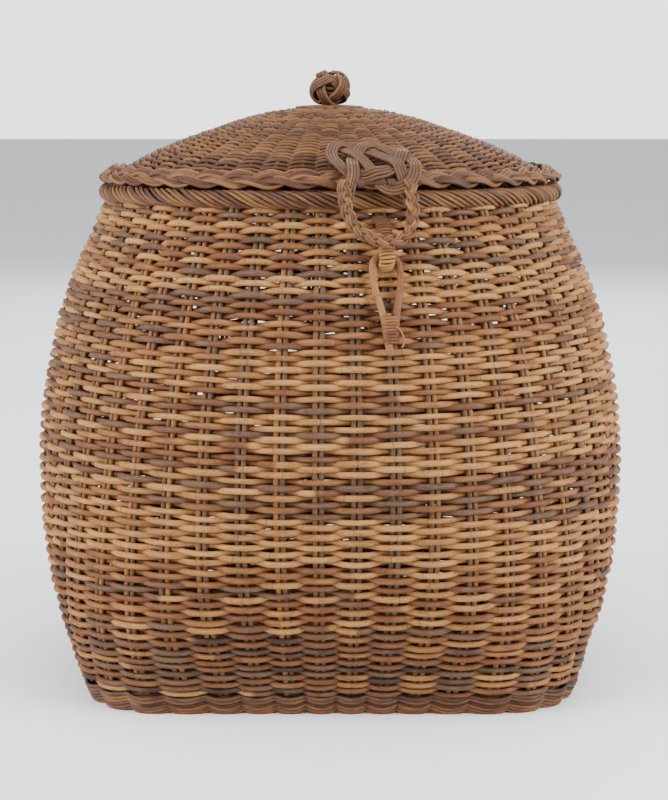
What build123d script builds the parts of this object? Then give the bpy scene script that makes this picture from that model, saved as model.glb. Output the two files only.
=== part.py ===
"""Lidded storage basket woven from round rattan cane.

The body stands on a rounded-square foot and swells to a nearly round belly and mouth. The lid is
a shallow ribbed dome. Two cane links hinge it at the back. At the front a braided hasp loop hangs
from a flat mat knot over a wrapped eye, and a bent cane toggle hangs through the eye.

Frame: origin at the middle of the foot on the floor, +Z up, front towards -Y, millimetres.
The hinge, the hasp and the eye share one upright plane, turned clasp_turn about +Z.
"""

import os
from math import cos, radians, sin, sqrt, tan

from build123d import *

os.makedirs("parts", exist_ok=True)

# Wall of the body: height, half width and corner radius of the rounded-square outline
foot_sections = [(0, 155.5, 52), (14, 162.5, 61)]
wall_sections = [
    (14, 162.5, 61),
    (34, 170, 77),
    (56, 179, 98),
    (80, 187, 125),
    (110, 193.5, 153),
    (145, 197, 177),
    (180, 196, 186),
    (215, 190, 184),
    (245, 182.5, 179),
    (272, 172, 169.5),
    (295, 161, 158.5),
    (314, 153.5, 151),
]
wall_thickness = 11
mat_height = 4
mat_thickness = 8
mat_gap = 0.5

# Upright stakes, in pairs all round the wall
stake_pairs = 52
first_stake = 0.7
stake_radius = 1.8
stake_spread = 1.95
stake_foot = 18
stake_top = 312

# Rolled border on the rim
rim_radius = 150.3
rim_height = 319.8
rim_roll = 6.4

# Lid: a spherical crown that runs into a straight cone
lid_apex = 377.5
crown_radius = 196
cone_angle = 22.5
lid_thickness = 7
lid_weave_edge = 144
lid_border_radius = 149.2
lid_border_height = 331.5
lid_border_half_width = 6.2
lid_border_half_height = 5
rib_count = 24
rib_cane = 1.7
rib_inner = 22
rib_outer = 143
hub_radius = 22
hub_under = 364.5

# Knob: a round knot held by a cane stem that is stopped under the hub
knob_half_width = 14.35
knob_half_height = 12.5
knob_middle = 388.3
knob_seat = 377.6
knob_flat = 400.6
stem_radius = 3.2
stem_top = 396
stem_stop_radius = 7
stem_stop_under = 361

# Upright plane that the hinge and the clasp share
clasp_turn = 10.5
front = -90 + clasp_turn
back = 90 + clasp_turn

# Clasp eye: its cane's route, as distance out and height in the upright plane
eye_sideways = 2
eye_outer = (9.6, 5.5)
eye_core = (6.4, 2.6)
eye_route = [(151, 308.5), (165.5, 307), (179.5, 284), (162, 277.5)]
eye_bends = [6, 5.5]

# Mat knot on the lid's front edge, with its lower edge's place and its lean
mat_knot_size = (57, 50)
mat_knot_corner = 22
mat_knot_thickness = 7.5
mat_knot_roll = -8
mat_knot_middle = (129.5, 342.2)
mat_knot_lean = 68.7

# Hasp loop: places are sideways and along the loop's own leaning plane, from its axis
hasp_axis = (161.5, 331)
hasp_lean = 30
hasp_section = (5.6, 8.8)
hasp_corner = 2.4
hasp_route = [(-22, 0), (-21.5, -19), (-8, -38.5), (9, -38.5), (18, -24), (18.5, 0)]
hasp_bends = [12, 9, 8, 12]
hasp_bar = 2.8
hasp_bar_ends = (-26.4, 22.9)
tie_places = (-11, 8)
tie_width = 5
tie_outer = 6
tie_clearance = 0.4
tie_neck_height = 5

# Toggle: a bent cane whose top bend passes through the eye
toggle_axis = (171.3, 286.8)
toggle_lean = 21
toggle_cane = 2.3
toggle_route = [
    (-0.8, -61),
    (-2.5, -40),
    (-8, -18),
    (-7.7, 0),
    (7.7, 0),
    (8, -18),
    (2.5, -40),
    (3, -51),
]
toggle_bends = [25, 25, 4.5, 4.5, 25, 25]
lashing_outline = [(-6.2, -36), (6.2, -36), (4.8, -54), (-4.6, -54)]
lashing_half_thickness = 3.4
lashing_round = 1.6

# Back hinge: wrapped eyes on the body, bent links on the lid
hinge_axis = (164, 321)
hinge_places = {"left": 62, "right": -62}
hinge_outer = (10, 3.5)
hinge_core = (6.6, 1.6)
hinge_route = [
    (150, 309),
    (159.25, 309),
    (159.25, 326.5),
    (168.75, 326.5),
    (168.75, 306),
    (156, 297),
]
hinge_bends = [3.5, 4.6, 4.6, 6]
link_cane = 2.5
link_half_gap = 8
link_bend = 4.5
link_length = 17.5
link_lean = 50.8


def outline_reach(half_width, corner, angle):
    """Distance from the axis to a rounded square's edge, in the direction of angle."""
    across, along = sorted((abs(cos(angle)), abs(sin(angle))))
    flat = half_width - corner
    if half_width * across <= flat * along:
        return half_width / along
    middle = flat * (across + along)
    return middle + sqrt(middle**2 - 2 * flat**2 + corner**2)


def outward(angle):
    """Level direction away from the axis."""
    return Vector(cos(radians(angle)), sin(radians(angle)), 0)


def to_the_right(angle):
    """Level direction to the right of someone who faces the basket from that angle."""
    return Vector(-sin(radians(angle)), cos(radians(angle)), 0)


def upright_plane(angle, sideways=0):
    """Upright plane: local x is the distance out from the axis, local y is the height."""
    right = to_the_right(angle)
    return Plane(origin=right * sideways, x_dir=outward(angle), z_dir=-right)


def leaning_plane(angle, sideways, place, lean):
    """Plane at a place (out, up): local x to the right, local y upwards and lean inwards."""
    right = to_the_right(angle)
    out, up = place
    origin = right * sideways + outward(angle) * out + Vector(0, 0, up)
    normal = outward(angle) * cos(radians(lean)) + Vector(0, 0, sin(radians(lean)))
    return Plane(origin=origin, x_dir=right, z_dir=normal)


def woven_shell(sections):
    """A wall that follows the rounded-square sections, open above and below."""
    with BuildPart() as shell:
        for height, half_width, corner in sections:
            with BuildSketch(Plane.XY.offset(height)):
                RectangleRounded(2 * half_width, 2 * half_width, corner)
        loft()
        for height, half_width, corner in sections:
            inner = half_width - wall_thickness
            with BuildSketch(Plane.XY.offset(height)):
                RectangleRounded(2 * inner, 2 * inner, corner - wall_thickness)
        loft(mode=Mode.SUBTRACT)
    return shell


def wrapped_eye(plane, route, bends, outer, core):
    """A flat cane eye along the route, rooted in the wall, and the binding wrapped round it."""
    core_round = 0.45 * core[1]
    with BuildPart() as cane:
        with BuildLine(plane):
            path = FilletPolyline(*route, radius=bends)
        start = Plane(origin=path @ 0, x_dir=plane.z_dir, z_dir=path % 0)
        with BuildSketch(start):
            RectangleRounded(*core, core_round)
        sweep(path=path)
        add(side_weave.part, mode=Mode.SUBTRACT)
    with BuildPart() as binding:
        with BuildSketch(start):
            RectangleRounded(*outer, 0.45 * outer[1])
            RectangleRounded(*core, core_round, mode=Mode.SUBTRACT)
        sweep(path=path)
        add(side_weave.part, mode=Mode.SUBTRACT)
    return cane, binding


def bent_cane(plane, route, bends, radius):
    """A round cane bent along the route."""
    with BuildPart() as cane:
        with BuildLine(plane):
            path = FilletPolyline(*route, radius=bends)
        with BuildSketch(Plane(origin=path @ 0, z_dir=path % 0)):
            Circle(radius)
        sweep(path=path)
    return cane


# Foot: the close first rounds of weaving, which stand on the floor
foot_wale = woven_shell(foot_sections)
foot_wale.part.label = "foot_wale"

# Side: the woven wall above the foot
side_weave = woven_shell(wall_sections)
side_weave.part.label = "side_weave"
wall_top = wall_sections[-1][0]

# Base: the woven bottom, raised inside the foot
foot_half_width, foot_corner = foot_sections[0][1:]
mat_half_width = foot_half_width - wall_thickness - mat_gap
with BuildPart() as base_mat:
    with BuildSketch(Plane.XY.offset(mat_height)):
        RectangleRounded(2 * mat_half_width, 2 * mat_half_width, foot_corner - wall_thickness)
    extrude(amount=mat_thickness)
base_mat.part.label = "base_mat"

# Stakes: pairs of upright canes inside the wall, each bent along the middle of the weave
stakes = []
for pair in range(stake_pairs):
    turn = 360 * (pair + first_stake) / stake_pairs
    stake_route = [
        (
            outline_reach(half_width, corner, radians(turn)) - wall_thickness / 2,
            min(max(height, stake_foot), stake_top),
        )
        for height, half_width, corner in wall_sections
    ]
    for sideways in (-stake_spread, stake_spread):
        with BuildPart() as stake:
            with BuildLine(upright_plane(turn, sideways)):
                stake_path = Spline(*stake_route)
            with BuildSketch(Plane(origin=stake_path @ 0, z_dir=stake_path % 0)):
                Circle(stake_radius)
            sweep(path=stake_path)
        stakes.append(stake.part)
with BuildPart() as side_stakes:
    add(stakes)
side_stakes.part.label = "side_stakes"

# Rim: the rolled border that finishes the wall, flat where it sits on the weave
with BuildPart() as rim_border:
    with BuildSketch(Plane.XZ):
        with Locations((rim_radius, rim_height)):
            Circle(rim_roll)
        with Locations((rim_radius, wall_top)):
            Rectangle(4 * rim_roll, rim_roll, align=(Align.CENTER, Align.MAX), mode=Mode.SUBTRACT)
    revolve(axis=Axis.Z)
rim_border.part.label = "rim_border"

# Lid weave: one thickness of dome, a crown arc that runs into a straight cone
cone = radians(cone_angle)
crown_centre = lid_apex - crown_radius


def crown_point(radius, angle):
    """A point of a crown arc of that radius, angle away from the axis."""
    return (radius * sin(angle), crown_centre + radius * cos(angle))


def cone_point(radius, out):
    """The point of the cone below that crown arc, at distance out from the axis."""
    edge_out, edge_up = crown_point(radius, cone)
    return (out, edge_up - (out - edge_out) * tan(cone))


under_radius = crown_radius - lid_thickness
with BuildPart() as lid_weave:
    with BuildSketch(Plane.XZ):
        with BuildLine():
            ThreePointArc(*[crown_point(crown_radius, cone * share) for share in (0, 0.5, 1)])
            Polyline(
                crown_point(crown_radius, cone),
                cone_point(crown_radius, lid_weave_edge),
                cone_point(under_radius, lid_weave_edge),
                crown_point(under_radius, cone),
            )
            ThreePointArc(*[crown_point(under_radius, cone * share) for share in (1, 0.5, 0)])
            Line(crown_point(under_radius, 0), crown_point(crown_radius, 0))
        make_face()
    revolve(axis=Axis.Z)
    with BuildSketch(Plane.XY.offset(stem_stop_under)):
        Circle(stem_radius)
    extrude(amount=lid_apex, mode=Mode.SUBTRACT)
lid_weave.part.label = "lid_weave"

# Lid ribs: canes that run out from the hub inside the dome's weave
rib_radius = crown_radius - lid_thickness / 2
rib_start = rib_inner / rib_radius
with BuildPart() as rib:
    with BuildLine(Plane.XZ) as rib_line:
        ThreePointArc(
            *[crown_point(rib_radius, angle) for angle in (rib_start, (rib_start + cone) / 2, cone)]
        )
        Line(crown_point(rib_radius, cone), cone_point(rib_radius, rib_outer))
    rib_path = rib_line.wires()[0]
    with BuildSketch(Plane(origin=rib_path @ 0, z_dir=rib_path % 0)):
        Circle(rib_cane)
    sweep(path=rib_path)
with BuildPart() as lid_ribs:
    with PolarLocations(0, rib_count):
        add(rib.part)
lid_ribs.part.label = "lid_ribs"

# Lid hub: the lashed crossing of the ribs, under the crown
with BuildPart() as lid_hub:
    with BuildSketch(Plane.XY.offset(hub_under)):
        Circle(hub_radius)
        Circle(stem_radius, mode=Mode.SUBTRACT)
    extrude(amount=lid_apex - hub_under - lid_thickness)
    add(lid_weave.part, mode=Mode.SUBTRACT)
lid_hub.part.label = "lid_hub"

# Lid border: the plaited edge, against the end of the weave
with BuildPart() as lid_border:
    with BuildSketch(Plane.XZ):
        with Locations((lid_border_radius, lid_border_height)):
            Ellipse(lid_border_half_width, lid_border_half_height)
        with Locations((lid_weave_edge, lid_border_height)):
            Rectangle(
                lid_border_half_width,
                4 * lid_border_half_height,
                align=(Align.MAX, Align.CENTER),
                mode=Mode.SUBTRACT,
            )
    revolve(axis=Axis.Z)
lid_border.part.label = "lid_border"

# Knob: a round knot with a flat seat on the crown, bored for its stem
with BuildPart() as knob:
    with BuildSketch(Plane.XZ):
        with Locations((0, knob_middle)):
            Ellipse(knob_half_width, knob_half_height)
            Rectangle(
                2 * knob_half_width,
                4 * knob_half_height,
                align=(Align.MAX, Align.CENTER),
                mode=Mode.SUBTRACT,
            )
    revolve(axis=Axis.Z)
    split(bisect_by=Plane.XY.offset(knob_seat), keep=Keep.TOP)
    split(bisect_by=Plane.XY.offset(knob_flat), keep=Keep.BOTTOM)
    with BuildSketch(Plane.XY.offset(knob_seat)):
        Circle(stem_radius)
    extrude(amount=stem_top - knob_seat, mode=Mode.SUBTRACT)
knob.part.label = "knob"

# Knob stem: a cane from inside the knot to a stop knot under the hub
with BuildPart() as knob_stem:
    with BuildSketch(Plane.XY.offset(stem_stop_under)):
        Circle(stem_radius)
    extrude(amount=stem_top - stem_stop_under)
    with BuildSketch(Plane.XY.offset(stem_stop_under)):
        Circle(stem_stop_radius)
    extrude(amount=hub_under - stem_stop_under)
knob_stem.part.label = "knob_stem"

# Clasp eye: bent cane rooted in the wall, with fine binding wrapped round it
clasp_eye_core, clasp_eye_wrap = wrapped_eye(
    upright_plane(front, eye_sideways), eye_route, eye_bends, eye_outer, eye_core
)
clasp_eye_core.part.label = "clasp_eye_core"
clasp_eye_wrap.part.label = "clasp_eye_wrap"

# Mat knot: the flat interlaced knot that covers the hasp's root
with BuildPart() as mat_knot:
    with BuildSketch(leaning_plane(front, 0, mat_knot_middle, mat_knot_lean)):
        RectangleRounded(*mat_knot_size, mat_knot_corner, rotation=mat_knot_roll)
    extrude(amount=mat_knot_thickness)
    add(lid_weave.part, mode=Mode.SUBTRACT)
    add(lid_border.part, mode=Mode.SUBTRACT)
mat_knot.part.label = "mat_knot"

# Hasp ties: two cane turns that hold the hasp's bar to the lid border
hole_radius = hasp_bar + tie_clearance
ties = []
for place in tie_places:
    with BuildPart() as tie:
        with BuildSketch(upright_plane(front, place)):
            with Locations(hasp_axis):
                Circle(tie_outer)
                Rectangle(
                    hasp_axis[0] - lid_border_radius,
                    tie_neck_height,
                    align=(Align.MAX, Align.CENTER),
                )
                Circle(hole_radius, mode=Mode.SUBTRACT)
        extrude(amount=tie_width / 2, both=True)
        add(lid_border.part, mode=Mode.SUBTRACT)
        add(mat_knot.part, mode=Mode.SUBTRACT)
    ties.append(tie.part)
with BuildPart() as hasp_ties:
    add(ties)
hasp_ties.part.label = "hasp_ties"

# Hasp loop: a flat braid bent into a loop, with a round bar on its axis
hasp_plane = leaning_plane(front, 0, hasp_axis, hasp_lean)
with BuildPart() as hasp_loop:
    with BuildLine(hasp_plane):
        hasp_path = FilletPolyline(*hasp_route, radius=hasp_bends)
    hasp_start = Plane(origin=hasp_path @ 0, x_dir=hasp_plane.z_dir, z_dir=hasp_path % 0)
    with BuildSketch(hasp_start):
        RectangleRounded(*hasp_section, hasp_corner)
    sweep(path=hasp_path)
    with BuildSketch(upright_plane(front, hasp_bar_ends[0])):
        with Locations(hasp_axis):
            Circle(hasp_bar)
    extrude(amount=hasp_bar_ends[0] - hasp_bar_ends[1])
hasp_loop.part.label = "hasp_loop"

# Toggle: one cane bent double through the eye, and the lashing that closes its arms
toggle_plane = leaning_plane(front, eye_sideways, toggle_axis, toggle_lean)
toggle_pin = bent_cane(toggle_plane, toggle_route, toggle_bends, toggle_cane)
toggle_pin.part.label = "toggle_pin"
with BuildPart() as toggle_lashing:
    with BuildSketch(toggle_plane):
        with BuildLine():
            Polyline(*lashing_outline, close=True)
        make_face()
    extrude(amount=lashing_half_thickness, both=True)
    fillet(toggle_lashing.edges(), lashing_round)
    add(toggle_pin.part, mode=Mode.SUBTRACT)
toggle_lashing.part.label = "toggle_lashing"

# Back hinge: on each side a wrapped eye on the body and a bent link on the lid
hinge_parts = []
link_route = [
    (-link_half_gap, link_length),
    (-link_half_gap, 0),
    (link_half_gap, 0),
    (link_half_gap, link_length),
]
for side, sideways in hinge_places.items():
    cane, binding = wrapped_eye(
        upright_plane(back, sideways), hinge_route, hinge_bends, hinge_outer, hinge_core
    )
    cane.part.label = f"hinge_eye_core_{side}"
    binding.part.label = f"hinge_eye_wrap_{side}"
    link_plane = leaning_plane(back, sideways, hinge_axis, link_lean)
    with BuildPart() as link:
        add(bent_cane(link_plane, link_route, link_bend, link_cane).part)
        add(lid_border.part, mode=Mode.SUBTRACT)
    link.part.label = f"hinge_link_{side}"
    hinge_parts += [cane, binding, link]

body_parts = [base_mat, foot_wale, side_weave, side_stakes, rim_border]
lid_parts = [lid_weave, lid_ribs, lid_hub, lid_border, knob, knob_stem, mat_knot, hasp_ties]
clasp_parts = [clasp_eye_core, clasp_eye_wrap, hasp_loop, toggle_pin, toggle_lashing]
for piece in body_parts + lid_parts + clasp_parts + hinge_parts:
    export_step(piece.part, f"parts/{piece.part.label}.step")
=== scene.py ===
"""Looks of the lidded basket: every cane of its weave, borders, knots and clasp."""
import math

import bpy
import numpy as np
from mathutils import Matrix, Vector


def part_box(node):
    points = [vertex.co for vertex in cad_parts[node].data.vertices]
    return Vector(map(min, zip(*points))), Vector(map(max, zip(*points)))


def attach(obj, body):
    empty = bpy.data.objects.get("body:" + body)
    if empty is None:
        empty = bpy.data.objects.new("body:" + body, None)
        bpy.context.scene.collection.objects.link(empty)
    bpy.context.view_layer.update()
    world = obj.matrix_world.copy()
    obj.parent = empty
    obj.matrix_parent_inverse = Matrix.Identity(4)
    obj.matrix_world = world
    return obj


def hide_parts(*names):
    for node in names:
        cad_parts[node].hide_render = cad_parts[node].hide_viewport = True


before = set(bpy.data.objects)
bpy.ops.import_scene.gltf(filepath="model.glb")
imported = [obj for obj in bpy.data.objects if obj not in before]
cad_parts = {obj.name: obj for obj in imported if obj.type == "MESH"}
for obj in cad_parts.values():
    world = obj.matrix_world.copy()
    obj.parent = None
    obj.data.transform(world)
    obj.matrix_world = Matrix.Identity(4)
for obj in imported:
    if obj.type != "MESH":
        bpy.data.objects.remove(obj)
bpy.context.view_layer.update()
rng = np.random.default_rng(11)
TAU = 2 * math.pi

# ---------------------------------------------------------------- camera
camera_data = bpy.data.cameras.new("camera")
camera_data.lens = 90
camera_data.sensor_width = 36
camera = bpy.data.objects.new("camera", camera_data)
camera.location = (0.0025, -1.365, 0.374)
camera.rotation_euler = (math.radians(90 - 8.25), 0, 0)
bpy.context.scene.collection.objects.link(camera)
bpy.context.scene.camera = camera

# ---------------------------------------------------------------- sizes, in millimetres
MM = 1000


def box_mm(node):
    """The lowest and highest corners of a CAD node."""
    return [np.array(corner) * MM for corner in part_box(node)]


side_high = box_mm("side_weave")[1]
rim_low, rim_high = box_mm("rim_border")
lid_high = box_mm("lid_weave")[1]
edge_low, edge_high = box_mm("lid_border")
knob_low, knob_high = box_mm("knob")
mat_low, mat_high = box_mm("base_mat")

# the wall's outline: height, half width and corner radius of a rounded square
BELLY_HALF = 197
BELLY = side_high[0] / BELLY_HALF
SECTIONS = np.array(
    [
        (0, 155.5, 52),
        (14, 162.5, 61),
        (34, 170, 77),
        (56, 179, 98),
        (80, 187, 125),
        (110, 193.5, 153),
        (145, BELLY_HALF, 177),
        (180, 196, 186),
        (215, 190, 184),
        (245, 182.5, 179),
        (272, 172, 169.5),
        (295, 161, 158.5),
        (314, 153.5, 151),
    ]
)
WALL = 11  # the wall's thickness
STAKES = 52  # pairs of stakes round the wall
FIRST_STAKE = 0.7  # where the first pair stands, in pitches
RIBS = 24  # long ribs of the lid


def hermite(x, xs, ys):
    """Smooth curve through the points (xs, ys)."""
    slopes = np.gradient(ys, xs)
    i = np.clip(np.searchsorted(xs, x) - 1, 0, len(xs) - 2)
    h = xs[i + 1] - xs[i]
    t = np.clip((x - xs[i]) / h, 0, 1)
    a = (1 + 2 * t) * (1 - t) ** 2 * ys[i] + t * (1 - t) ** 2 * h * slopes[i]
    return a + t * t * (3 - 2 * t) * ys[i + 1] + t * t * (t - 1) * h * slopes[i + 1]


FINE = np.arange(0, 320.5, 0.5)
FINE_HALF = BELLY * hermite(FINE, SECTIONS[:, 0], SECTIONS[:, 1])
FINE_CORNER = BELLY * hermite(FINE, SECTIONS[:, 0], SECTIONS[:, 2])


def reach(z, phi):
    """Distance from the axis to the wall's outside."""
    half = np.interp(z, FINE, FINE_HALF)
    corner = np.interp(z, FINE, FINE_CORNER)
    c, s = np.abs(np.cos(phi)), np.abs(np.sin(phi))
    low, high = np.minimum(c, s), np.maximum(c, s)
    flat = half - corner
    middle = flat * (low + high)
    curved = middle + np.sqrt(np.maximum(middle**2 - 2 * flat**2 + corner**2, 0))
    return np.where(half * low <= flat * high, half / high, curved)


def slope(z, phi):
    """How fast the wall widens with height."""
    step = 2
    return (reach(z + step, phi) - reach(z - step, phi)) / (2 * step)


def wall_point(z, phi, out):
    """A point at a distance out from the middle of the wall's thickness, along its normal."""
    lean = slope(z, phi)
    length = np.sqrt(1 + lean**2)
    radius = reach(z, phi) - WALL / 2 + out / length
    return np.stack([radius * np.cos(phi), radius * np.sin(phi), z - out * lean / length], -1)


def wall_normal(z, phi):
    """The direction square to the wall, outwards."""
    lean = slope(z, phi)
    n = np.stack([np.cos(phi), np.sin(phi), -lean], -1)
    return n / np.linalg.norm(n, axis=-1, keepdims=True)


# the dome: a crown arc that runs into a straight cone, at the middle of its thickness
CROWN = 192.5
CROWN_CENTRE = lid_high[2] - 196
CONE = math.radians(22.5)
CONE_START = CROWN * CONE
DOME_END = 150
# how far the woven dome swells past the arc and cone, by arc length from the axis
FULLNESS = ([0, 40, 75, 105, 130, DOME_END], [0.3, 1.3, 1.9, 3.6, 2.9, 0])


def dome(length, phi, out=0.0):
    """A point of the dome, at an arc length from the axis and a height above its middle."""
    out = out + np.interp(length, *FULLNESS)
    angle = np.minimum(length, CONE_START) / CROWN
    extra = np.maximum(length - CONE_START, 0)
    radius = CROWN * np.sin(angle) + extra * math.cos(CONE) + out * np.sin(angle)
    z = CROWN_CENTRE + CROWN * np.cos(angle) - extra * math.sin(CONE) + out * np.cos(angle)
    return np.stack([radius * np.cos(phi), radius * np.sin(phi), z + 0 * phi], -1)


def dome_normal(length, phi):
    """The direction square to the dome, upwards."""
    angle = np.minimum(length, CONE_START) / CROWN + 0 * phi
    return np.stack([np.sin(angle) * np.cos(phi), np.sin(angle) * np.sin(phi), np.cos(angle)], -1)


# ---------------------------------------------------------------- canes
def unit(v):
    """Vectors cut to length 1."""
    return v / np.maximum(np.linalg.norm(v, axis=-1, keepdims=True), 1e-9)


def lengths(path):
    """How far each point of a path lies along it."""
    return np.concatenate([[0], np.cumsum(np.linalg.norm(np.diff(path, axis=0), axis=1))])


def smooth(points, spacing=1.0, closed=False):
    """Evenly spaced points along a smooth curve through the given ones."""
    p = np.array(points, float)
    if closed:
        p = np.vstack([p[-1:], p, p[:2]])
    else:
        p = np.vstack([2 * p[:1] - p[1:2], p, 2 * p[-1:] - p[-2:-1]])
    t = np.linspace(0, 1, 17)[:-1, None]
    run = []
    for a, b, c, d in zip(p[:-3], p[1:-2], p[2:-1], p[3:]):
        square = 2 * a - 5 * b + 4 * c - d
        cube = 3 * b - a - 3 * c + d
        run.append(0.5 * (2 * b + (c - a) * t + square * t**2 + cube * t**3))
    run = np.vstack(run + [p[-2:-1]])
    length = lengths(run[:, :3])
    count = max(int(length[-1] / spacing), 3) + 1
    at = np.linspace(0, length[-1], count)
    out = np.stack([np.interp(at, length, run[:, i]) for i in range(run.shape[1])], -1)
    return out[:-1] if closed else out


class Canes:
    """Many canes in one mesh, with the attributes that their material reads."""

    def __init__(self, sides=8):
        self.sides = sides
        self.points, self.cane, self.tint = [], [], []
        self.quads, self.caps = [], []
        self.count = 0

    def add(self, path, radius, ref, closed=False, tint=None, flat=1.0, taper=0.0):
        """One cane along a path; ref points through its thin way when it is flat."""
        path = np.asarray(path, float)
        n = len(path)
        if closed:
            tangent = unit(np.roll(path, -1, 0) - np.roll(path, 1, 0))
        else:
            tangent = unit(np.gradient(path, axis=0))
        ref = np.broadcast_to(np.asarray(ref, float), path.shape)
        up = unit(ref - tangent * (ref * tangent).sum(-1, keepdims=True))
        side = np.cross(tangent, up)
        along = lengths(path)
        r = np.broadcast_to(np.asarray(radius, float), (n,)).copy()
        if taper and not closed:
            ends = np.clip(np.minimum(along, along[-1] - along) / taper, 0, 1)
            r *= np.sqrt(ends * (2 - ends) * 0.75 + 0.25)
        a = TAU * np.arange(self.sides) / self.sides
        ring = (
            path[:, None]
            + up[:, None] * (r[:, None] * np.cos(a) * flat)[..., None]
            + side[:, None] * (r[:, None] * np.sin(a))[..., None]
        )
        start = rng.uniform(0, 40)
        cane = np.stack(
            [
                np.repeat((along / MM + start)[:, None], self.sides, 1),
                r[:, None] * np.cos(a) / MM,
                r[:, None] * np.sin(a) / MM,
            ],
            -1,
        )
        if tint is None:
            tint = pick_tint()
        tint = np.broadcast_to(np.asarray(tint, float), (n,))
        base = self.count
        rows = n if closed else n - 1
        i = np.arange(rows)[:, None]
        j = np.arange(self.sides)[None]
        k = (i + 1) % n
        m = (j + 1) % self.sides
        s = self.sides
        quad = np.stack([i * s + j, i * s + m, k * s + m, k * s + j], -1) + base
        self.quads.append(quad.reshape(-1, 4))
        if not closed:
            self.caps.append(list(range(base + s - 1, base - 1, -1)))
            self.caps.append(list(range(base + (n - 1) * s, base + n * s)))
        self.points.append(ring.reshape(-1, 3))
        self.cane.append(cane.reshape(-1, 3))
        self.tint.append(np.repeat(tint, s))
        self.count += n * s

    def make(self, name, body, nodes, material):
        """The piece that all the canes added so far make, in place of its CAD nodes."""
        points = np.vstack(self.points) / MM
        quads = np.vstack(self.quads)
        caps = [np.array(cap) for cap in self.caps]
        loops = np.concatenate([quads.ravel()] + caps).astype(np.int32)
        sizes = np.array([4] * len(quads) + [len(cap) for cap in caps], np.int32)
        starts = np.concatenate([[0], np.cumsum(sizes)[:-1]]).astype(np.int32)
        mesh = bpy.data.meshes.new(name)
        mesh.vertices.add(len(points))
        mesh.vertices.foreach_set("co", points.astype(np.float32).ravel())
        mesh.loops.add(len(loops))
        mesh.loops.foreach_set("vertex_index", loops)
        mesh.polygons.add(len(sizes))
        mesh.polygons.foreach_set("loop_start", starts)
        mesh.polygons.foreach_set("use_smooth", np.ones(len(sizes), bool))
        mesh.update(calc_edges=True)
        mesh.validate()
        cane = mesh.attributes.new("cane", "FLOAT_VECTOR", "POINT")
        cane.data.foreach_set("vector", np.vstack(self.cane).astype(np.float32).ravel())
        tint = mesh.attributes.new("tint", "FLOAT", "POINT")
        tint.data.foreach_set("value", np.concatenate(self.tint).astype(np.float32))
        mesh.materials.append(material)
        piece = bpy.data.objects.new(name, mesh)
        bpy.context.scene.collection.objects.link(piece)
        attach(piece, body)
        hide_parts(*nodes)


def pick_tint():
    """A cane's place in the palette: straw, tan, brown, red-brown, grey-mauve, dark."""
    kind = rng.random()
    if kind < 0.36:
        return rng.uniform(0.02, 0.2)
    if kind < 0.62:
        return rng.uniform(0.2, 0.38)
    if kind < 0.82:
        return rng.uniform(0.38, 0.62)
    return rng.uniform(0.62, 0.82)


# ---------------------------------------------------------------- materials
STRAW = (0.35, 0.172, 0.056)
TAN = (0.25, 0.107, 0.032)
BROWN = (0.15, 0.057, 0.018)
RUSSET = (0.105, 0.033, 0.012)
MAUVE = (0.098, 0.052, 0.029)
DARK = (0.034, 0.014, 0.008)
SAND = (0.17, 0.074, 0.025)
SPECK = (0.03, 0.015, 0.009)
RING_WIDTH = 0.0006  # of the rings where leaves once grew, in metres


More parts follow.
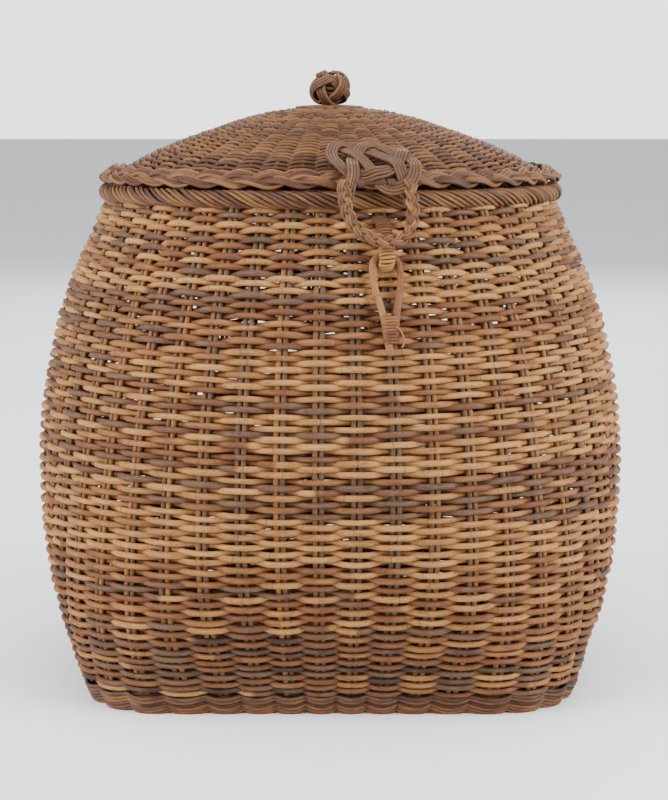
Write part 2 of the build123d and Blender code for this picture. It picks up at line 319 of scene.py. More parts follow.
def cane_material(name, stops, rough=0.56, rings=10.0):
    """Peeled cane: a colour per strand that drifts along it, fine grain, specks and leaf rings.

    The stops are the colours for tints from 0 to 1, and rings is how many there are to a metre.
    """
    material = bpy.data.materials.new(name)
    material.use_nodes = True
    nodes, links = material.node_tree.nodes, material.node_tree.links
    shader = nodes["Principled BSDF"]
    shader.inputs["Specular IOR Level"].default_value = 0.22
    cane = nodes.new("ShaderNodeAttribute")
    cane.attribute_name = "cane"
    tint = nodes.new("ShaderNodeAttribute")
    tint.attribute_name = "tint"

    def noise(scale, detail, roughness=0.55):
        stretch = nodes.new("ShaderNodeVectorMath")
        stretch.operation = "MULTIPLY"
        stretch.inputs[1].default_value = scale
        links.new(cane.outputs["Vector"], stretch.inputs[0])
        texture = nodes.new("ShaderNodeTexNoise")
        texture.inputs["Scale"].default_value = 1
        texture.inputs["Detail"].default_value = detail
        texture.inputs["Roughness"].default_value = roughness
        links.new(stretch.outputs[0], texture.inputs["Vector"])
        return texture.outputs["Fac"]

    def math_node(operation, a, b=None, c=None):
        node = nodes.new("ShaderNodeMath")
        node.operation = operation
        for socket, value in zip(node.inputs, (a, b, c)):
            if value is None:
                continue
            if isinstance(value, (int, float)):
                socket.default_value = value
            else:
                links.new(value, socket)
        return node.outputs[0]

    drift = noise((14, 60, 60), 2)
    blotch = noise((110, 260, 260), 3)
    grain = noise((130, 2300, 2300), 3, 0.6)
    speck = noise((900, 1500, 1500), 2, 0.7)
    shift = math_node("MULTIPLY_ADD", drift, 0.55, -0.275)
    shift = math_node("MULTIPLY_ADD", blotch, 0.7, math_node("ADD", shift, -0.35))
    ramp = nodes.new("ShaderNodeValToRGB")
    while len(ramp.color_ramp.elements) < len(stops):
        ramp.color_ramp.elements.new(0.5)
    for element, (place, colour) in zip(ramp.color_ramp.elements, stops):
        element.position = place
        element.color = (*colour, 1)
    links.new(math_node("ADD", tint.outputs["Fac"], shift), ramp.inputs[0])

    def multiply(colour, low, high, amount):
        """Colour times a grey that runs from low to high with amount."""
        grey = nodes.new("ShaderNodeMapRange")
        grey.inputs["From Min"].default_value = 0.25
        grey.inputs["From Max"].default_value = 0.75
        grey.inputs["To Min"].default_value = low
        grey.inputs["To Max"].default_value = high
        links.new(amount, grey.inputs["Value"])
        mix = nodes.new("ShaderNodeVectorMath")
        mix.operation = "SCALE"
        links.new(colour, mix.inputs[0])
        links.new(grey.outputs[0], mix.inputs["Scale"])
        return mix.outputs[0]

    colour = multiply(multiply(ramp.outputs[0], 0.55, 1.4, grain), 0.72, 1.24, blotch)
    # dark specks, only in some stretches
    spotted = math_node("GREATER_THAN", blotch, 0.5)
    where = math_node("MULTIPLY", math_node("GREATER_THAN", speck, 0.57), spotted)
    # rings where leaves once grew
    parts = nodes.new("ShaderNodeSeparateXYZ")
    links.new(cane.outputs["Vector"], parts.inputs[0])
    turn = math_node("FRACT", math_node("MULTIPLY", parts.outputs[0], rings))
    ring = math_node("LESS_THAN", turn, RING_WIDTH * rings)
    dark = nodes.new("ShaderNodeMix")
    dark.data_type = "RGBA"
    links.new(math_node("MULTIPLY", math_node("MAXIMUM", where, ring), 0.6), dark.inputs["Factor"])
    links.new(colour, dark.inputs["A"])
    dark.inputs["B"].default_value = (*SPECK, 1)
    links.new(dark.outputs["Result"], shader.inputs["Base Color"])
    gloss = nodes.new("ShaderNodeMapRange")
    gloss.inputs["To Min"].default_value = rough - 0.1
    gloss.inputs["To Max"].default_value = rough + 0.2
    links.new(blotch, gloss.inputs["Value"])
    links.new(gloss.outputs[0], shader.inputs["Roughness"])
    bump = nodes.new("ShaderNodeBump")
    bump.inputs["Strength"].default_value = 0.35
    bump.inputs["Distance"].default_value = 0.0004
    height = math_node("MULTIPLY_ADD", ring, 0.8, math_node("ADD", grain, blotch))
    links.new(height, bump.inputs["Height"])
    links.new(bump.outputs[0], shader.inputs["Normal"])
    return material


PALETTE = [(0, STRAW), (0.24, TAN), (0.45, BROWN), (0.6, RUSSET), (0.75, MAUVE), (1, DARK)]
REDDER = [
    (0, SAND),
    (0.3, (0.115, 0.046, 0.016)),
    (0.5, (0.08, 0.028, 0.011)),
    (0.65, (0.066, 0.021, 0.009)),
    (0.8, (0.068, 0.034, 0.02)),
    (1, DARK),
]
STAKE = [(0, TAN), (0.4, (0.135, 0.06, 0.022)), (0.7, (0.105, 0.06, 0.032)), (1, DARK)]
KNOT = [
    (0, (0.15, 0.07, 0.03)),
    (0.4, (0.095, 0.039, 0.018)),
    (0.75, (0.07, 0.034, 0.02)),
    (1, DARK),
]
BRAID = [
    (0, (0.2, 0.09, 0.031)),
    (0.4, (0.115, 0.044, 0.017)),
    (0.75, (0.082, 0.038, 0.02)),
    (1, DARK),
]
BINDING = [
    (0, (0.3, 0.14, 0.044)),
    (0.35, (0.18, 0.072, 0.022)),
    (0.7, (0.1, 0.035, 0.013)),
    (1, DARK),
]
PEG = [
    (0, (0.25, 0.112, 0.037)),
    (0.4, (0.145, 0.057, 0.02)),
    (0.7, (0.092, 0.032, 0.013)),
    (1, DARK),
]
weaver_cane = cane_material("weaver_cane", PALETTE)
stake_cane = cane_material("stake_cane", STAKE)
border_cane = cane_material("border_cane", REDDER)
lid_cane = cane_material("lid_cane", REDDER)
plait_cane = cane_material("plait_cane", REDDER)
knot_cane = cane_material("knot_cane", KNOT, rough=0.5)
braid_cane = cane_material("braid_cane", BRAID, rough=0.5)
binding_cane = cane_material("binding_cane", BINDING)
peg_cane = cane_material("peg_cane", PEG, rings=22.0)

# ---------------------------------------------------------------- body: foot and wall
PER_STAKE = 6  # steps of a weaver from one pair of stakes to the next
ring = np.arange(STAKES * PER_STAKE)
ring_phi = TAU * (ring / PER_STAKE + FIRST_STAKE) / STAKES


def wander(count, steps, spread):
    """Small hand-made irregularities, one for each of count places round a ring."""
    knots = rng.normal(0, spread, count)
    return np.interp(np.arange(count * steps) / steps, np.arange(count + 1), np.append(knots, knots[0]))


def row_tints(count, splices):
    """A weaver's tints round a ring, new where a new cane was spliced in."""
    tints = np.full(count, pick_tint())
    for start in rng.integers(0, count, splices):
        tints[start : start + rng.integers(count // 6, count // 2)] = pick_tint()
    return tints


def over_under(phase):
    """How far over or under the stakes a weaver runs: flat at the stakes, steep between them."""
    return np.sin(0.5 * math.pi * np.cos(phase))


def circle(radius, height, phi):
    """A level ring round the axis."""
    return np.stack([radius * np.cos(phi), radius * np.sin(phi), height + 0 * phi], -1)


# the wall: rows of one weaver each, over and under the pairs of stakes
FIRST_ROW, LAST_ROW = 15.4, 313.6
ROW_PITCH = ([15, 32, 60, 110, 160, 300], [2.45, 2.75, 3.2, 3.38, 3.5, 3.42])
LOW_THINNER = ([15, 34, 70], [0.84, 0.9, 1.0])
LOW_DARKER = ([15, 45, 60, 110], [0.12, 0.3, 0.12, 0])
WEAVER, THINNEST, THICKEST = 1.95, 1.72, 2.2  # radius
BANDS = 4
heights = []
z = FIRST_ROW
while z < LAST_ROW:
    heights.append(z)
    z += np.interp(z, *ROW_PITCH) / math.sqrt(1 + float(slope(z, 0)) ** 2)
for number, band in enumerate(np.array_split(np.arange(len(heights)), BANDS)):
    weave = Canes()
    for row in band:
        height = heights[row]
        thick = np.clip(rng.normal(WEAVER, 0.13), THINNEST, THICKEST)
        thick *= np.interp(height, *LOW_THINNER)
        swing = 0.8 * (THINNEST + thick)
        out = swing * over_under(math.pi * (ring / PER_STAKE + row % 2))
        uneven = wander(STAKES, PER_STAKE, 0.27)
        level = height + uneven + 0.5 * np.sin(ring_phi * 2 + rng.uniform(0, TAU))
        weave.add(
            wall_point(level, ring_phi, out + wander(STAKES, PER_STAKE, 0.12)),
            thick * (1 + wander(STAKES, PER_STAKE, 0.045)),
            wall_normal(level, ring_phi),
            closed=True,
            tint=row_tints(len(ring), 5) + np.interp(height, *LOW_DARKER),
        )
    weave.make(f"side_weave_{number + 1}", "body", ["side_weave"], weaver_cane)

STAKE_RADIUS = 1.75
STAKE_APART = 1.95  # from the middle of a pair to each stake
stakes = Canes()
stake_z = np.linspace(14, 317, 64)
for pair in range(STAKES):
    phi = TAU * (pair + FIRST_STAKE) / STAKES
    for side in (-STAKE_APART, STAKE_APART):
        turn = phi + side / reach(stake_z, phi)
        bow = 0.25 * np.sin(stake_z / rng.uniform(28, 45) + rng.uniform(0, TAU))
        tint = rng.choice([rng.uniform(0, 0.3), rng.uniform(0.5, 0.8)], p=[0.6, 0.4])
        line = wall_point(stake_z, turn, bow)
        stakes.add(line, STAKE_RADIUS, wall_normal(stake_z, turn), tint=tint)
stakes.make("side_stakes_canes", "body", ["side_stakes"], stake_cane)

# the foot: close rounds that bulge over each stake, outside and inside
FOOT_ROWS = (1.35, 3.5, 5.7, 7.9, 10.1, 12.3)
FOOT_OUTER, FOOT_INNER = 1.25, 1.3  # radius
foot = Canes()
bulge = np.abs(np.cos(math.pi * ring / PER_STAKE))
for height in FOOT_ROWS:
    dip = (1 - bulge) * np.interp(height, [1, 14], [1.5, 0.4])
    foot_level = height + dip + wander(STAKES, PER_STAKE, 0.12)
    foot.add(
        wall_point(foot_level, ring_phi, 0.7 + 3.3 * bulge),
        FOOT_OUTER,
        wall_normal(foot_level, ring_phi),
        closed=True,
        tint=row_tints(len(ring), 6) + 0.28,
    )
    foot.add(
        wall_point(height + 0.2 + 0 * ring_phi, ring_phi, -2.6 - 1.4 * bulge),
        FOOT_INNER,
        wall_normal(height + 0 * ring_phi, ring_phi),
        closed=True,
        tint=row_tints(len(ring), 4),
    )
foot.make("foot_canes", "body", ["foot_wale"], weaver_cane)

# the base: pairs of canes front to back, and a plain weave across them
MAT_PAIRS, MAT_ROWS = 12, 4.0  # pitch
MAT_STAKE, MAT_WEAVER = 1.8, 1.6  # radius
mat_half, mat_corner = mat_high[0] - 1, 41
mat_middle = (mat_low[2] + mat_high[2]) / 2


def chord(offset):
    """Half the mat's width at an offset from its middle."""
    flat = mat_half - mat_corner
    over = max(abs(offset) - flat, 0)
    return flat + math.sqrt(max(mat_corner**2 - over**2, 0))


base = Canes(6)
for place in np.arange(-132, 133, MAT_PAIRS):
    for side in (-1.9, 1.9):
        half = chord(place + side)
        y = np.linspace(-half, half, 24)
        base.add(np.stack([0 * y + place + side, y, 0 * y + mat_middle], -1), MAT_STAKE, (0, 0, 1))
for number, place in enumerate(np.arange(-140, 140.5, MAT_ROWS)):
    half = chord(place)
    x = np.linspace(-half, half, int(half / 1.6))
    wave = 2.2 * over_under(math.pi * (x / MAT_PAIRS + number % 2))
    base.add(np.stack([x, 0 * x + place, mat_middle + wave], -1), MAT_WEAVER, (0, 0, 1))
base.make("base_mat_weave", "body", ["base_mat"], weaver_cane)

# the rim: canes rolled round a core
TURNS = 17
ROLLED = 10
ROLLED_CANE, RIM_CORE = 1.2, 3.2  # radius
rim = Canes()
rim_phi = TAU * np.arange(TURNS * 18) / (TURNS * 18)
rim_height = (rim_low[2] + rim_high[2]) / 2 - 0.2
rim_radius = rim_high[0] - 6.4
rim_centre = circle(rim_radius, rim_height, rim_phi)
for cane in range(ROLLED):
    theta = -TURNS * rim_phi + TAU * cane / ROLLED + wander(TURNS * 3, 6, 0.07)
    away = np.stack([np.cos(theta), np.sin(theta)], -1) * (1 + wander(TURNS * 3, 6, 0.07))[:, None]
    path = circle(rim_radius + 4.9 * away[:, 0], rim_height + 4.7 * away[:, 1], rim_phi)
    rim.add(
        path,
        ROLLED_CANE + wander(TURNS * 3, 6, 0.09),
        path - rim_centre,
        closed=True,
        tint=row_tints(len(rim_phi), 12),
    )
core_phi = TAU * np.arange(96) / 96
rim.add(circle(rim_radius, rim_height, core_phi), RIM_CORE, (0, 0, 1), closed=True, tint=0.95)
rim.make("rim_border_canes", "body", ["rim_border"], border_cane)

# ---------------------------------------------------------------- lid
PER_RIB = 8  # steps of a weaver from one rib to the next
SPREAD = 46  # where short ribs join between the long ones, as these have spread apart
LID_START, LID_PITCH, LID_ROWS = 23.0, 2.3, 55
LID_CANE, LID_THINNEST, LID_THICKEST, RIB_CANE = 1.24, 1.1, 1.45, 1.6  # radius
lid_weave = Canes()
for row, length in enumerate(np.cumsum([LID_START] + [LID_PITCH] * (LID_ROWS - 1))):
    count = RIBS if length < SPREAD else 2 * RIBS
    steps = np.arange(count * PER_RIB)
    phi = TAU * steps / len(steps)
    thick = np.clip(rng.normal(LID_CANE, 0.08), LID_THINNEST, LID_THICKEST)
    lift = np.interp(length, [20, SPREAD - 1, SPREAD, 110], [0.9, 1.4, 1.1, 1.6])
    out = lift * over_under(math.pi * (steps / PER_RIB + row % 2))
    place = length + wander(count, PER_RIB, 0.22)
    lid_weave.add(
        dome(place, phi, out + wander(count, PER_RIB, 0.12)),
        thick,
        dome_normal(place, phi),
        closed=True,
        tint=row_tints(len(steps), 6),
    )
lid_weave.make("lid_weave_canes", "lid", ["lid_weave"], lid_cane)

ribs = Canes()
for rib in range(2 * RIBS):
    phi = TAU * rib / (2 * RIBS)
    run = np.linspace(SPREAD - 4 if rib % 2 else 18, DOME_END, 40)
    ribs.add(dome(run, phi + 0 * run), RIB_CANE, dome_normal(run, phi), tint=rng.uniform(0.1, 0.7))
ribs.make("lid_rib_canes", "lid", ["lid_ribs"], lid_cane)

# the hub: tight turns above and below the crossing of the ribs, and a lashing across it
HUB_CANE, HUB_REACH, HUB_TURNS = 1.1, 22.5, 8.6
hub = Canes()
spiral = np.linspace(0, 1, 400)
for out, inner in ((2.0, 5.0), (-2.0, 3.5)):
    run = inner + (HUB_REACH - inner) * spiral
    phi = TAU * HUB_TURNS * spiral
    line = dome(run, phi, out + 0.25 * np.sin(phi * 12))
    hub.add(line, HUB_CANE, dome_normal(run, phi), tint=0.35)
for turn in range(6):
    across = np.linspace(-20, 20, 14)
    line = dome(np.abs(across), math.pi * turn / 6 + 0 * across, -3.6)
    line[across < 0, :2] *= -1
    hub.add(line, HUB_CANE, (0, 0, 1), tint=0.5)
hub.make("lid_hub_lashing", "lid", ["lid_hub"], lid_cane)

# the plaited edge: three strands of three canes, and a core that fills it
PLAITS = 15
PLAIT_CANE, PLAIT_CORE, PLAIT_APART = 1.22, 2.2, 2.15
edge = Canes()
edge_phi = TAU * np.arange(PLAITS * 24) / (PLAITS * 24)
radial = circle(1, 0, edge_phi)
upwards = np.array([0, 0, 1.0])
tilt = math.radians(38)
broad = math.cos(tilt) * radial - math.sin(tilt) * upwards
thin = math.sin(tilt) * radial + math.cos(tilt) * upwards
edge_radius = (edge_high[0] + 144) / 2 - 0.2
edge_centre = edge_radius * radial + ((edge_low[2] + edge_high[2]) / 2 + 0.7) * upwards
for strand in range(3):
    psi = PLAITS * edge_phi + TAU * strand / 3
    for cane in (-1, 0, 1):
        wide = 3.9 * np.sin(psi) + PLAIT_APART * cane + wander(PLAITS * 3, 8, 0.16)
        high = 1.9 * np.sin(2 * psi) + wander(PLAITS * 3, 8, 0.15)
        path = edge_centre + broad * wide[:, None] + thin * high[:, None]
        edge.add(path, PLAIT_CANE, thin, closed=True, tint=row_tints(len(edge_phi), 7))
edge.add(edge_centre[::4] - 0.6 * thin[::4], PLAIT_CORE, thin[::4], closed=True, tint=0.9)
edge.make("lid_border_plait", "lid", ["lid_border"], plait_cane)


# ---------------------------------------------------------------- knob: a Turk's head of triple cane
def rotation(axis, degrees):
    """The matrix of a turn about an axis."""
    x, y, z = unit(np.array(axis, float))
    c, s = math.cos(math.radians(degrees)), math.sin(math.radians(degrees))
    return np.array(
        [
            [c + x * x * (1 - c), x * y * (1 - c) - z * s, x * z * (1 - c) + y * s],
            [y * x * (1 - c) + z * s, c + y * y * (1 - c), y * z * (1 - c) - x * s],
            [z * x * (1 - c) - y * s, z * y * (1 - c) + x * s, c + z * z * (1 - c)],
        ]
    )


BIGHTS, LEADS = 4, 3
KNOB_RADIUS, KNOB_CANE, KNOB_INSIDE = 12.2, 1.3, 9.6
knob = Canes()
knob_middle = (knob_low + knob_high) / 2 - np.array([0, 0, 0.8])
knob_turn = rotation((1, 0.25, 0), 28) @ rotation((0, 0, 1), 20)
u = LEADS * TAU * np.arange(480) / 480
latitude = math.radians(63) * np.sin(BIGHTS * u / LEADS)
lifted = KNOB_RADIUS + 1.35 * np.sin(2 * BIGHTS * u / LEADS)
ball = np.stack([np.cos(latitude) * np.cos(u), np.cos(latitude) * np.sin(u), np.sin(latitude)], -1)
line = ball * lifted[:, None]
heading = unit(np.roll(line, -1, 0) - np.roll(line, 1, 0))
aside = unit(np.cross(heading, ball))
squeeze = np.array([1, 1, 0.86])
for cane in (-1, 0, 1):
    path = (line + aside * 2.25 * cane) @ knob_turn.T * squeeze + knob_middle
    away = (path - knob_middle) / squeeze
    knob.add(path, KNOB_CANE, away, closed=True, tint=0.2 + 0.25 * (cane + 1) / 2)
# a ball of wound cane closes the gaps from inside
polar = np.linspace(0.12, math.pi - 0.12, 260)
winding = polar * 15
inner = np.stack([np.sin(polar) * np.cos(winding), np.sin(polar) * np.sin(winding), np.cos(polar)], -1)
inner *= KNOB_INSIDE
knob.add(inner * squeeze + knob_middle, KNOB_CANE, inner, tint=0.75)
knob.make("knob_turks_head", "lid", ["knob"], knot_cane)

# ---------------------------------------------------------------- clasp
FRONT = math.radians(-79.5)
BACK = math.radians(100.5)


def directions(angle):
    """To the right and outwards, for something at an angle round the axis."""
    right = np.array([-math.sin(angle), math.cos(angle), 0])
    away = np.array([math.cos(angle), math.sin(angle), 0])
    return right, away


class Place:
    """A plane at a place: x to the right, y upwards, z out of the basket."""

    def __init__(self, angle, sideways, out, up, lean):
        self.right, away = directions(angle)
        self.origin = self.right * sideways + away * out + upwards * up
        lean = math.radians(lean)
        self.normal = away * math.cos(lean) + upwards * math.sin(lean)
        self.up = np.cross(self.normal, self.right)

    def point(self, x, y, z=0.0):
        x, y, z = (v[..., None] for v in np.broadcast_arrays(np.asarray(x, float), y, z))
        return self.origin + x * self.right + y * self.up + z * self.normal


def upright(angle, sideways, route):
    """Points of an upright plane, given as distance out from the axis and height."""
    route = np.asarray(route, float)
    right, away = directions(angle)
    return right * sideways + route[:, :1] * away + route[:, 1:2] * upwards


# the mat knot's two strands: x, y on the knot's plane and how high the strand runs
STRAND_A = [
    (-20, -30, 0.6), (-17.5, -21, 0.9), (-13.8, -12.5, 1), (-12, -1, 0.5), (-8.8, 5.3, 0),
    (-5.5, 11, 0.5), (-1.5, 15.4, 1), (5.8, 17.9, 0.8), (12.5, 13.5, 0.4), (18.5, 6.5, 0),
    (23.6, 0.8, 0.4), (25.8, -7.3, 0.6), (23, -14.6, 0.9), (16.8, -19.4, 1), (8.7, -20.8, 0.7),
    (2.2, -18, 0.4), (-1.2, -12, 0), (-4.8, -2.5, 0.5), (-8.7, 5.2, 1), (-13, 11.8, 0.5),
    (-16.8, 17, 0), (-18.6, 20, -0.7),
]
STRAND_B = [
    (24.5, 16.5, -0.8), (21.3, 8, 1), (17.5, -0.6, 0.5), (14.2, -6.6, 0), (7.7, -11, 0.5),
    (-0.8, -12.9, 1), (-7.7, -14.4, 0.5), (-14.4, -12.6, 0), (-21, -5.6, 0.5), (-23.4, 5.3, 0.6),
    (-20.6, 14.3, 0.9), (-15.8, 18.3, 1), (-9.4, 17.8, 0.5), (-2.6, 13.8, 0), (3.8, 7.6, 0.5),
    (9.6, 0.6, 0.8), (14.6, -7, 1), (17.2, -17, 0), (19.2, -24, 0.2), (20.5, -30, 0.3),
]
# its bed over the lid and its edge: place up the knot, distance out, height
BED = np.array(
    [
        (-46, 159.8, 313.6), (-38, 159.6, 321.6), (-33, 159, 326.6), (-28, 157.4, 331.2),
        (-24, 154.9, 334.8), (-19, 150.6, 338), (-13, 145, 340.4), (-5, 137.6, 343.4),
        (5, 128.4, 347.2), (15, 119, 351), (30, 105, 356.6),
    ]
)
BED_LEAN = ([-40, -26, -18, 30], [0.05, 0.35, 1.1, 1.2])  # radians from outwards to upwards
MAT_CANE, MAT_APART = 1.04, 1.84
mat = Canes()
mat_right = directions(FRONT)[0]
for strand in (STRAND_A, STRAND_B):
    run = smooth([(x, 1.16 * y - 9, 6 * level) for x, y, level in strand], 0.9)
    heading = unit(np.gradient(run[:, :2], axis=0))
    for cane in (-1.5, -0.5, 0.5, 1.5):
        x = run[:, 0] - heading[:, 1] * MAT_APART * cane - 1
        y = run[:, 1] + heading[:, 0] * MAT_APART * cane
        out, up = np.interp(y, BED[:, 0], BED[:, 1]), np.interp(y, BED[:, 0], BED[:, 2])
        lean = np.interp(y, *BED_LEAN)
        lift = 1.2 + 0.42 * run[:, 2]
        route = np.stack([out + np.cos(lean) * lift, up + np.sin(lean) * lift], -1)
        path = upright(FRONT, 0, route) + x[:, None] * mat_right
        normal = upright(FRONT, 0, np.stack([np.cos(lean), np.sin(lean)], -1))
        mat.add(path, MAT_CANE, normal, tint=rng.uniform(0.05, 0.75), taper=2)
mat.make("mat_knot_canes", "lid", ["mat_knot"], knot_cane)


def braid(canes, path, normal, width, depth, period, radius, tints, flat):
    """Three pairs of canes plaited along the path."""
    along = lengths(path)
    aside = unit(np.cross(unit(np.gradient(path, axis=0)), np.broadcast_to(normal, path.shape)))
    for strand in range(3):
        psi = TAU * (along / period + strand / 3)
        wide, high = width * np.sin(psi), depth * np.sin(2 * psi)
        line = path + aside * wide[:, None] + normal * high[:, None]
        for cane in (-0.95, 0.95):
            shift = aside * (cane * radius * np.cos(0.5 * np.cos(psi)))[:, None]
            tint = tints[strand] + 0.12 * cane
            canes.add(line + shift, radius, normal, tint=tint, flat=flat, taper=2)


def wrap(canes, path, side_half, deep_half, ref, pitch, radius, tint):
    """Turns of fine cane round a path; ref points through the thin way."""
    along = lengths(path)
    at = np.linspace(0, along[-1], max(int(along[-1] / pitch * 14), 16))

    def spread(values):
        """Values given evenly along the path, at each step of the turns."""
        return np.interp(at, np.linspace(0, along[-1], np.size(values)), np.atleast_1d(values))

    centre = np.stack([np.interp(at, along, path[:, i]) for i in range(3)], -1)
    deep = np.stack([np.interp(at, along, ref[:, i]) for i in range(3)], -1)
    heading = unit(np.gradient(centre, axis=0))
    deep = unit(deep - heading * (deep * heading).sum(-1, keepdims=True))
    aside = np.cross(heading, deep)
    angle = TAU * at / pitch
    through, across = deep_half * np.cos(angle), spread(side_half) * np.sin(angle)
    away = deep * through[:, None] + aside * across[:, None]
    shade = spread(tint) + 0.06 * np.sin(angle * 0.37) + 0.03 * np.sin(angle * 1.9)
    canes.add(centre + away, radius, away, tint=shade, flat=0.8)


# the hasp: a plaited loop that hangs from the mat knot, on a bar that turns in two ties
HASP_CANE, BAR_CANE, TIE_CANE, TIE_COIL = 1.02, 1.2, 0.85, 2.1
HASP_BACK = -1.2  # the bar lies this far behind the loop's plane
hasp_place = Place(FRONT, 0, 161.5, 331, 30)
hasp_route = [
    (-21.3, 2), (-21.8, -8), (-21.4, -19), (-17.4, -29.5), (-9.5, -36.6), (-1, -39.2),
    (6.5, -39), (13.5, -35), (17.6, -27), (19.2, -14), (19, 2),
]
run = smooth(hasp_route, 0.8)
loop = hasp_place.point(run[:, 0], run[:, 1])
hasp = Canes(10)
braid(hasp, loop, hasp_place.normal, 2.45, 1.2, 24, HASP_CANE, (0.15, 0.45, 0.3), 1.1)
bar = np.linspace(-25.5, 22, 20)
bar_line = hasp_place.point(bar, 0 * bar, HASP_BACK)
hasp.add(bar_line, BAR_CANE, hasp_place.normal, tint=0.95, taper=2)
hasp.make("hasp_braid", "hasp", ["hasp_loop"], braid_cane)

ties = Canes()
for place in (-11, 8):
    coil = np.linspace(0, 1, 60)
    angle = TAU * 3 * coil
    across, through = TIE_COIL * np.cos(angle), TIE_COIL * np.sin(angle)
    line = hasp_place.point(place - 2 + 4 * coil, across, through + HASP_BACK)
    middle = hasp_place.point(place - 2 + 4 * coil, 0 * coil, HASP_BACK)
    ties.add(line, TIE_CANE, line - middle, tint=0.9)
ties.make("hasp_tie_turns", "lid", ["hasp_ties"], braid_cane)


WRAP_PITCH = 1.95


def eye(angle, sideways, route, core_size, wrap_size, wrap_cane, tints, names, nodes):
    """A flat cane bent into an eye, and fine cane wrapped round it; sizes are width, depth."""
    path = upright(angle, sideways, smooth(route, 0.8))
    heading = unit(np.gradient(path, axis=0))
    deep = np.cross(heading, np.broadcast_to(directions(angle)[0], path.shape))
    width, depth = core_size
    core = Canes(12)
    core.add(path, width / 2, deep, flat=depth / width, tint=tints[0], taper=1.5)
    core.make(names[0], "body", [nodes[0]], peg_cane)
    side_half, deep_half = wrap_size[0] / 2 - wrap_cane, wrap_size[1] / 2 - wrap_cane * 0.8
    turns = Canes()
    wrap(turns, path[3:-3], side_half, deep_half, deep[3:-3], WRAP_PITCH, wrap_cane, tints[1:])
    turns.make(names[1], "body", [nodes[1]], binding_cane)


# the clasp's eye: its binding is painted dark over its upper turns as painted shade, where that part
# lies in shadow, and golden over its lower turns
eye(
    FRONT, 2,
    [
        (149, 308.7), (158, 308.4), (166, 305.8), (172.5, 296.5), (177, 287.5), (175.6, 282.8),
        (169, 279.8), (160, 276.8),
    ],
    (6.4, 2.6), (10.4, 5.5), 0.98, (0.7, 0.85, 0.75, 0.5, 0.12, 0.05, 0.15),
    ("clasp_eye_cane", "clasp_eye_binding"), ("clasp_eye_core", "clasp_eye_wrap"),
)

# the toggle: one cane bent double through the eye, its arms lashed together, with a loose tail
toggle_place = Place(FRONT, 2, 171.3, 286.8, 21)
toggle_route = [
    (-0.8, -61), (-2.3, -50), (-3.2, -40), (-5.6, -28), (-8.0, -17.5), (-8.2, -8), (-7.3, -3),
    (-4.4, -0.4), (0, 0), (4.4, -0.4), (7.3, -3), (8.2, -8), (8.2, -17.5), (5.8, -28), (3.6, -40),
    (2.6, -51.5),
]
run = smooth(toggle_route, 0.9)
progress = np.linspace(0, 1, len(run))
shade = np.interp(progress, [0, 0.15, 0.45, 0.55, 0.9, 1], [0.3, 0.1, 0.2, 0.4, 0.45, 0.5])
thickness = 2.3 * (1 + 0.05 * np.sin(17 * progress))
line = toggle_place.point(run[:, 0], run[:, 1])
toggle = Canes(12)
toggle.add(line, thickness, toggle_place.normal, tint=shade, taper=3)
toggle.make("toggle_cane", "toggle", ["toggle_pin"], peg_cane)

lashing = Canes()
spine = toggle_place.point(np.linspace(0.2, 0, 20), np.linspace(-36.3, -53.7, 20))
spine_ref = np.broadcast_to(toggle_place.normal, spine.shape)
wrap(lashing, spine, np.linspace(5.6, 4.1, 8), 2.7, spine_ref, 1.9, 0.98, (0.3, 0.5, 0.65, 0.6))
tail = smooth(
    [(2.5, -44, 3.4), (5.2, -46, 2.6), (7.0, -49.5, 1.6), (7.2, -53.5, 1.2), (5.6, -56.5, 1.6)], 0.7
)
tail_line = toggle_place.point(tail[:, 0], tail[:, 1], tail[:, 2])
lashing.add(tail_line, 0.65, toggle_place.normal, tint=0.25, taper=2)
lashing.make("toggle_lashing_turns", "toggle", ["toggle_lashing"], binding_cane)

# ---------------------------------------------------------------- back hinge
HINGE_ROUTE = [
    (150, 309), (157, 309.4), (159.25, 313), (159.25, 321), (160.6, 325.3), (164, 326.5),
    (167.4, 325.3), (168.75, 321), (168.75, 311), (166, 304.5), (158, 298.5),
]
LINK_ROUTE = [
    (-8, 17.5), (-8, 9), (-8, 3.5), (-6.7, 1.2), (-3.5, 0), (3.5, 0), (6.7, 1.2), (8, 3.5), (8, 9),
    (8, 17.5),
]
LINK_CANE = 2.4
for side, sideways in (("left", 62), ("right", -62)):
    eye(
        BACK, sideways, HINGE_ROUTE, (6.6, 1.6), (10, 3.5), 0.75, (0.5, 0.4, 0.3, 0.2, 0.3),
        (f"hinge_eye_cane_{side}", f"hinge_eye_binding_{side}"),
        (f"hinge_eye_core_{side}", f"hinge_eye_wrap_{side}"),
    )
    link_place = Place(BACK, sideways, 164, 321, 50.8)
    run = smooth(LINK_ROUTE, 0.9)
    link = Canes(12)
    line = link_place.point(run[:, 0], run[:, 1])
    link.add(line, LINK_CANE, link_place.normal, tint=0.3)
    link.make(f"hinge_link_cane_{side}", "lid", [f"hinge_link_{side}"], peg_cane)

# the knob's stem keeps its CAD shape, in plain cane
stem = bpy.data.materials.new("stem_cane")
stem.use_nodes = True
stem_nodes, stem_links = stem.node_tree.nodes, stem.node_tree.links
stem_shader = stem_nodes["Principled BSDF"]
place = stem_nodes.new("ShaderNodeTexCoord")
grain = stem_nodes.new("ShaderNodeTexNoise")
grain.inputs["Scale"].default_value = 700
stem_links.new(place.outputs["Object"], grain.inputs["Vector"])
ramp = stem_nodes.new("ShaderNodeValToRGB")
ramp.color_ramp.elements[0].color = (*RUSSET, 1)
ramp.color_ramp.elements[1].color = (*TAN, 1)
stem_links.new(grain.outputs["Fac"], ramp.inputs[0])
stem_links.new(ramp.outputs[0], stem_shader.inputs["Base Color"])
stem_shader.inputs["Roughness"].default_value = 0.5
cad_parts["knob_stem"].data.materials.clear()
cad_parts["knob_stem"].data.materials.append(stem)

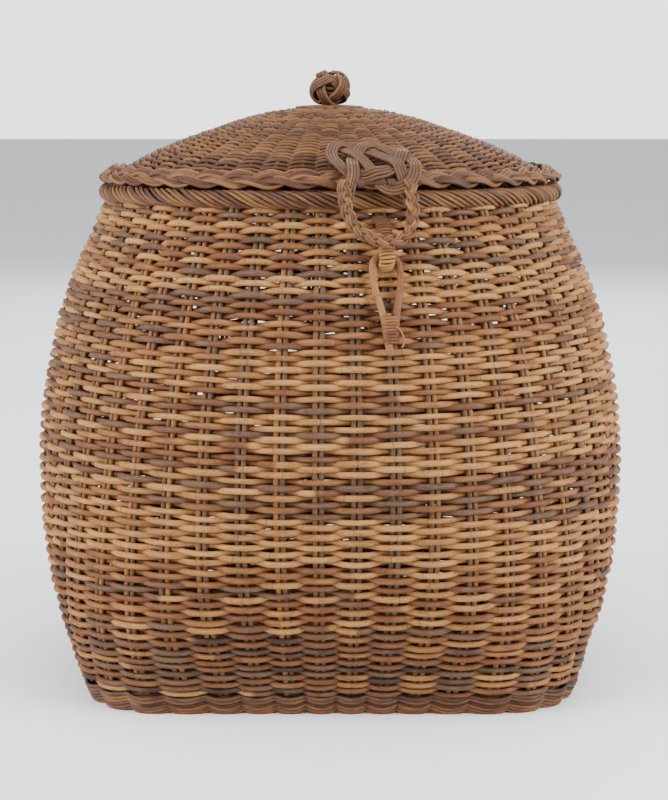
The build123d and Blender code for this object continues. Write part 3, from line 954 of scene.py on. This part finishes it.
# ---------------------------------------------------------------- floor and light
FLOOR = 25  # half its width, in metres
corners = [(-FLOOR, -FLOOR, 0), (FLOOR, -FLOOR, 0), (FLOOR, FLOOR, 0), (-FLOOR, FLOOR, 0)]
floor_mesh = bpy.data.meshes.new("floor")
floor_mesh.from_pydata(corners, [], [(0, 1, 2, 3)])
floor = bpy.data.objects.new("floor", floor_mesh)
bpy.context.scene.collection.objects.link(floor)
paper = bpy.data.materials.new("paper")
paper.use_nodes = True
paper_shader = paper.node_tree.nodes["Principled BSDF"]
paper_shader.inputs["Base Color"].default_value = (0.8, 0.81, 0.82, 1)
paper_shader.inputs["Roughness"].default_value = 0.8
floor_mesh.materials.append(paper)

world = bpy.data.worlds.new("world")
world.use_nodes = True
sky_nodes, sky_links = world.node_tree.nodes, world.node_tree.links
light = sky_nodes["Background"]
light.inputs["Color"].default_value = (0.93, 0.96, 1.0, 1)
light.inputs["Strength"].default_value = 1.0
# the pale backdrop that the camera sees
seen = sky_nodes.new("ShaderNodeBackground")
seen.inputs["Color"].default_value = (0.99, 0.995, 1.0, 1)
seen.inputs["Strength"].default_value = 2.5
ray = sky_nodes.new("ShaderNodeLightPath")
choose = sky_nodes.new("ShaderNodeMixShader")
sky_links.new(ray.outputs["Is Camera Ray"], choose.inputs[0])
sky_links.new(light.outputs[0], choose.inputs[1])
sky_links.new(seen.outputs[0], choose.inputs[2])
sky_links.new(choose.outputs[0], sky_nodes["World Output"].inputs["Surface"])
bpy.context.scene.world = world


def soft_light(name, place, aim, size, power, colour=(1, 1, 1)):
    """A rectangular studio light at a place, turned towards its aim."""
    data = bpy.data.lights.new(name, "AREA")
    data.shape = "RECTANGLE"
    data.size, data.size_y = size
    data.energy = power
    data.color = colour
    light = bpy.data.objects.new(name, data)
    bpy.context.scene.collection.objects.link(light)
    back = unit(np.array(place, float) - np.array(aim, float))
    side = unit(np.cross((0, 0, 1), back))
    up = np.cross(back, side)
    rows = [[side[i], up[i], back[i], place[i]] for i in range(3)]
    light.matrix_world = Matrix(rows + [[0, 0, 0, 1]])


soft_light("left", (-1.7, -0.9, 1.0), (0, 0, 0.2), (1.5, 1.5), 78)
soft_light("right", (1.7, -0.9, 1.0), (0, 0, 0.2), (1.5, 1.5), 82, (0.97, 0.99, 1))
soft_light("top", (0, -0.2, 2.6), (0, 0.1, 0), (2.6, 2.2), 42)
soft_light("back", (0.3, 2.6, 1.7), (0, 0, 0.2), (2.2, 1.4), 60)
